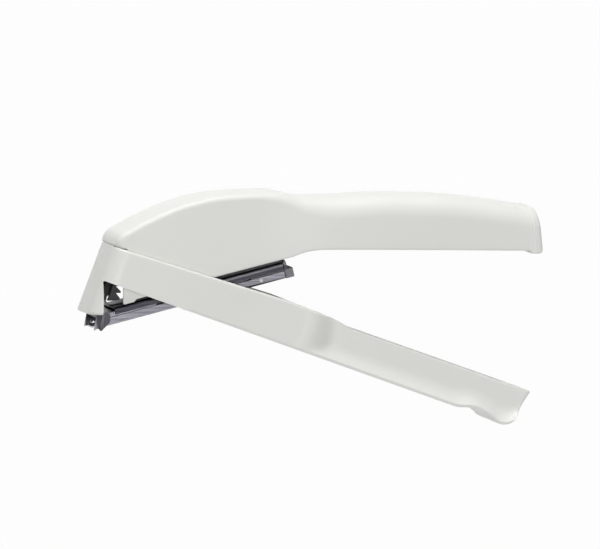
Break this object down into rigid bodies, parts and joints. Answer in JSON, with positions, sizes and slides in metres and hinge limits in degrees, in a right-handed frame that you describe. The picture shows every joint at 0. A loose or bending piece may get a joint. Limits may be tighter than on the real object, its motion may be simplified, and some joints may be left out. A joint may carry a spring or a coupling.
{
  "type": "skin stapler",
  "caption": "Disposable skin stapler: a wedge-shaped body with a palm grip, a sprung trigger lever with a nose column, and a steel staple cartridge held between its arms.",
  "frame": {"origin": "centre of the bounding box in X and Y, on the plane that the stapler rests on when it lies on its far side", "axes": "+X from the nose to the end of the palm grip, +Y from the trigger lever to the upper handle, +Z through the thickness, away from the table"},
  "size_m": [0.151, 0.0771, 0.022],
  "materials": {
    "white_plastic": "white moulded plastic, satin",
    "black_plastic": "black moulded plastic",
    "steel": "stainless steel sheet and wire",
    "dark_steel": "dark stainless steel sheet"
  },
  "bodies": {
    "body": {"upper_handle": "white_plastic", "pivot_pin_near": "steel", "pivot_pin_far": "steel", "cartridge_channel": "steel", "cartridge_cover": "dark_steel", "handle_rail": "black_plastic", "staple_track": "steel", "anvil_plate": "steel", "ejector_spring": "steel", "cartridge_end_cap": "black_plastic", "end_pin": "steel", "staple_stack": "steel", "front_staple": "steel", "guide_rod": "steel", "feed_spring": "steel", "nose_guide": "steel", "return_spring": "steel", "spring_clip": "black_plastic", "rail_screw_front": "steel", "rail_screw_rear": "steel"},
    "lever": {"trigger_lever": "white_plastic", "drive_pin": "steel"},
    "former": {"former_plate": "steel", "former_carrier": "black_plastic", "former_rivet_near": "steel", "former_rivet_far": "steel"},
    "pusher": {"staple_pusher": "black_plastic"}
  },
  "joints": [
    {"name": "lever_pivot", "type": "hinge", "parent": "body", "child": "lever", "pos_m": [-0.0429, 0.00532, 0.011], "axis": [0, 0, 1], "range_deg": [0, 9], "stiffness_Nm_per_rad": 1.5, "springref_deg": -2.86, "deforming": ["return_spring", "front_staple"]},
    {"name": "former_slide", "type": "slide", "parent": "body", "child": "former", "axis": [0, -1, 0], "range_m": [0, 0.00392]},
    {"name": "pusher_slide", "type": "slide", "parent": "body", "child": "pusher", "axis": [-0.9763, -0.2164, 0], "range_m": [0, 0.018], "deforming": ["feed_spring", "staple_stack"]}
  ],
  "couplings": [
    {"joint": "former_slide", "follows": "lever_pivot", "m_per_rad": 0.02496}
  ]
}
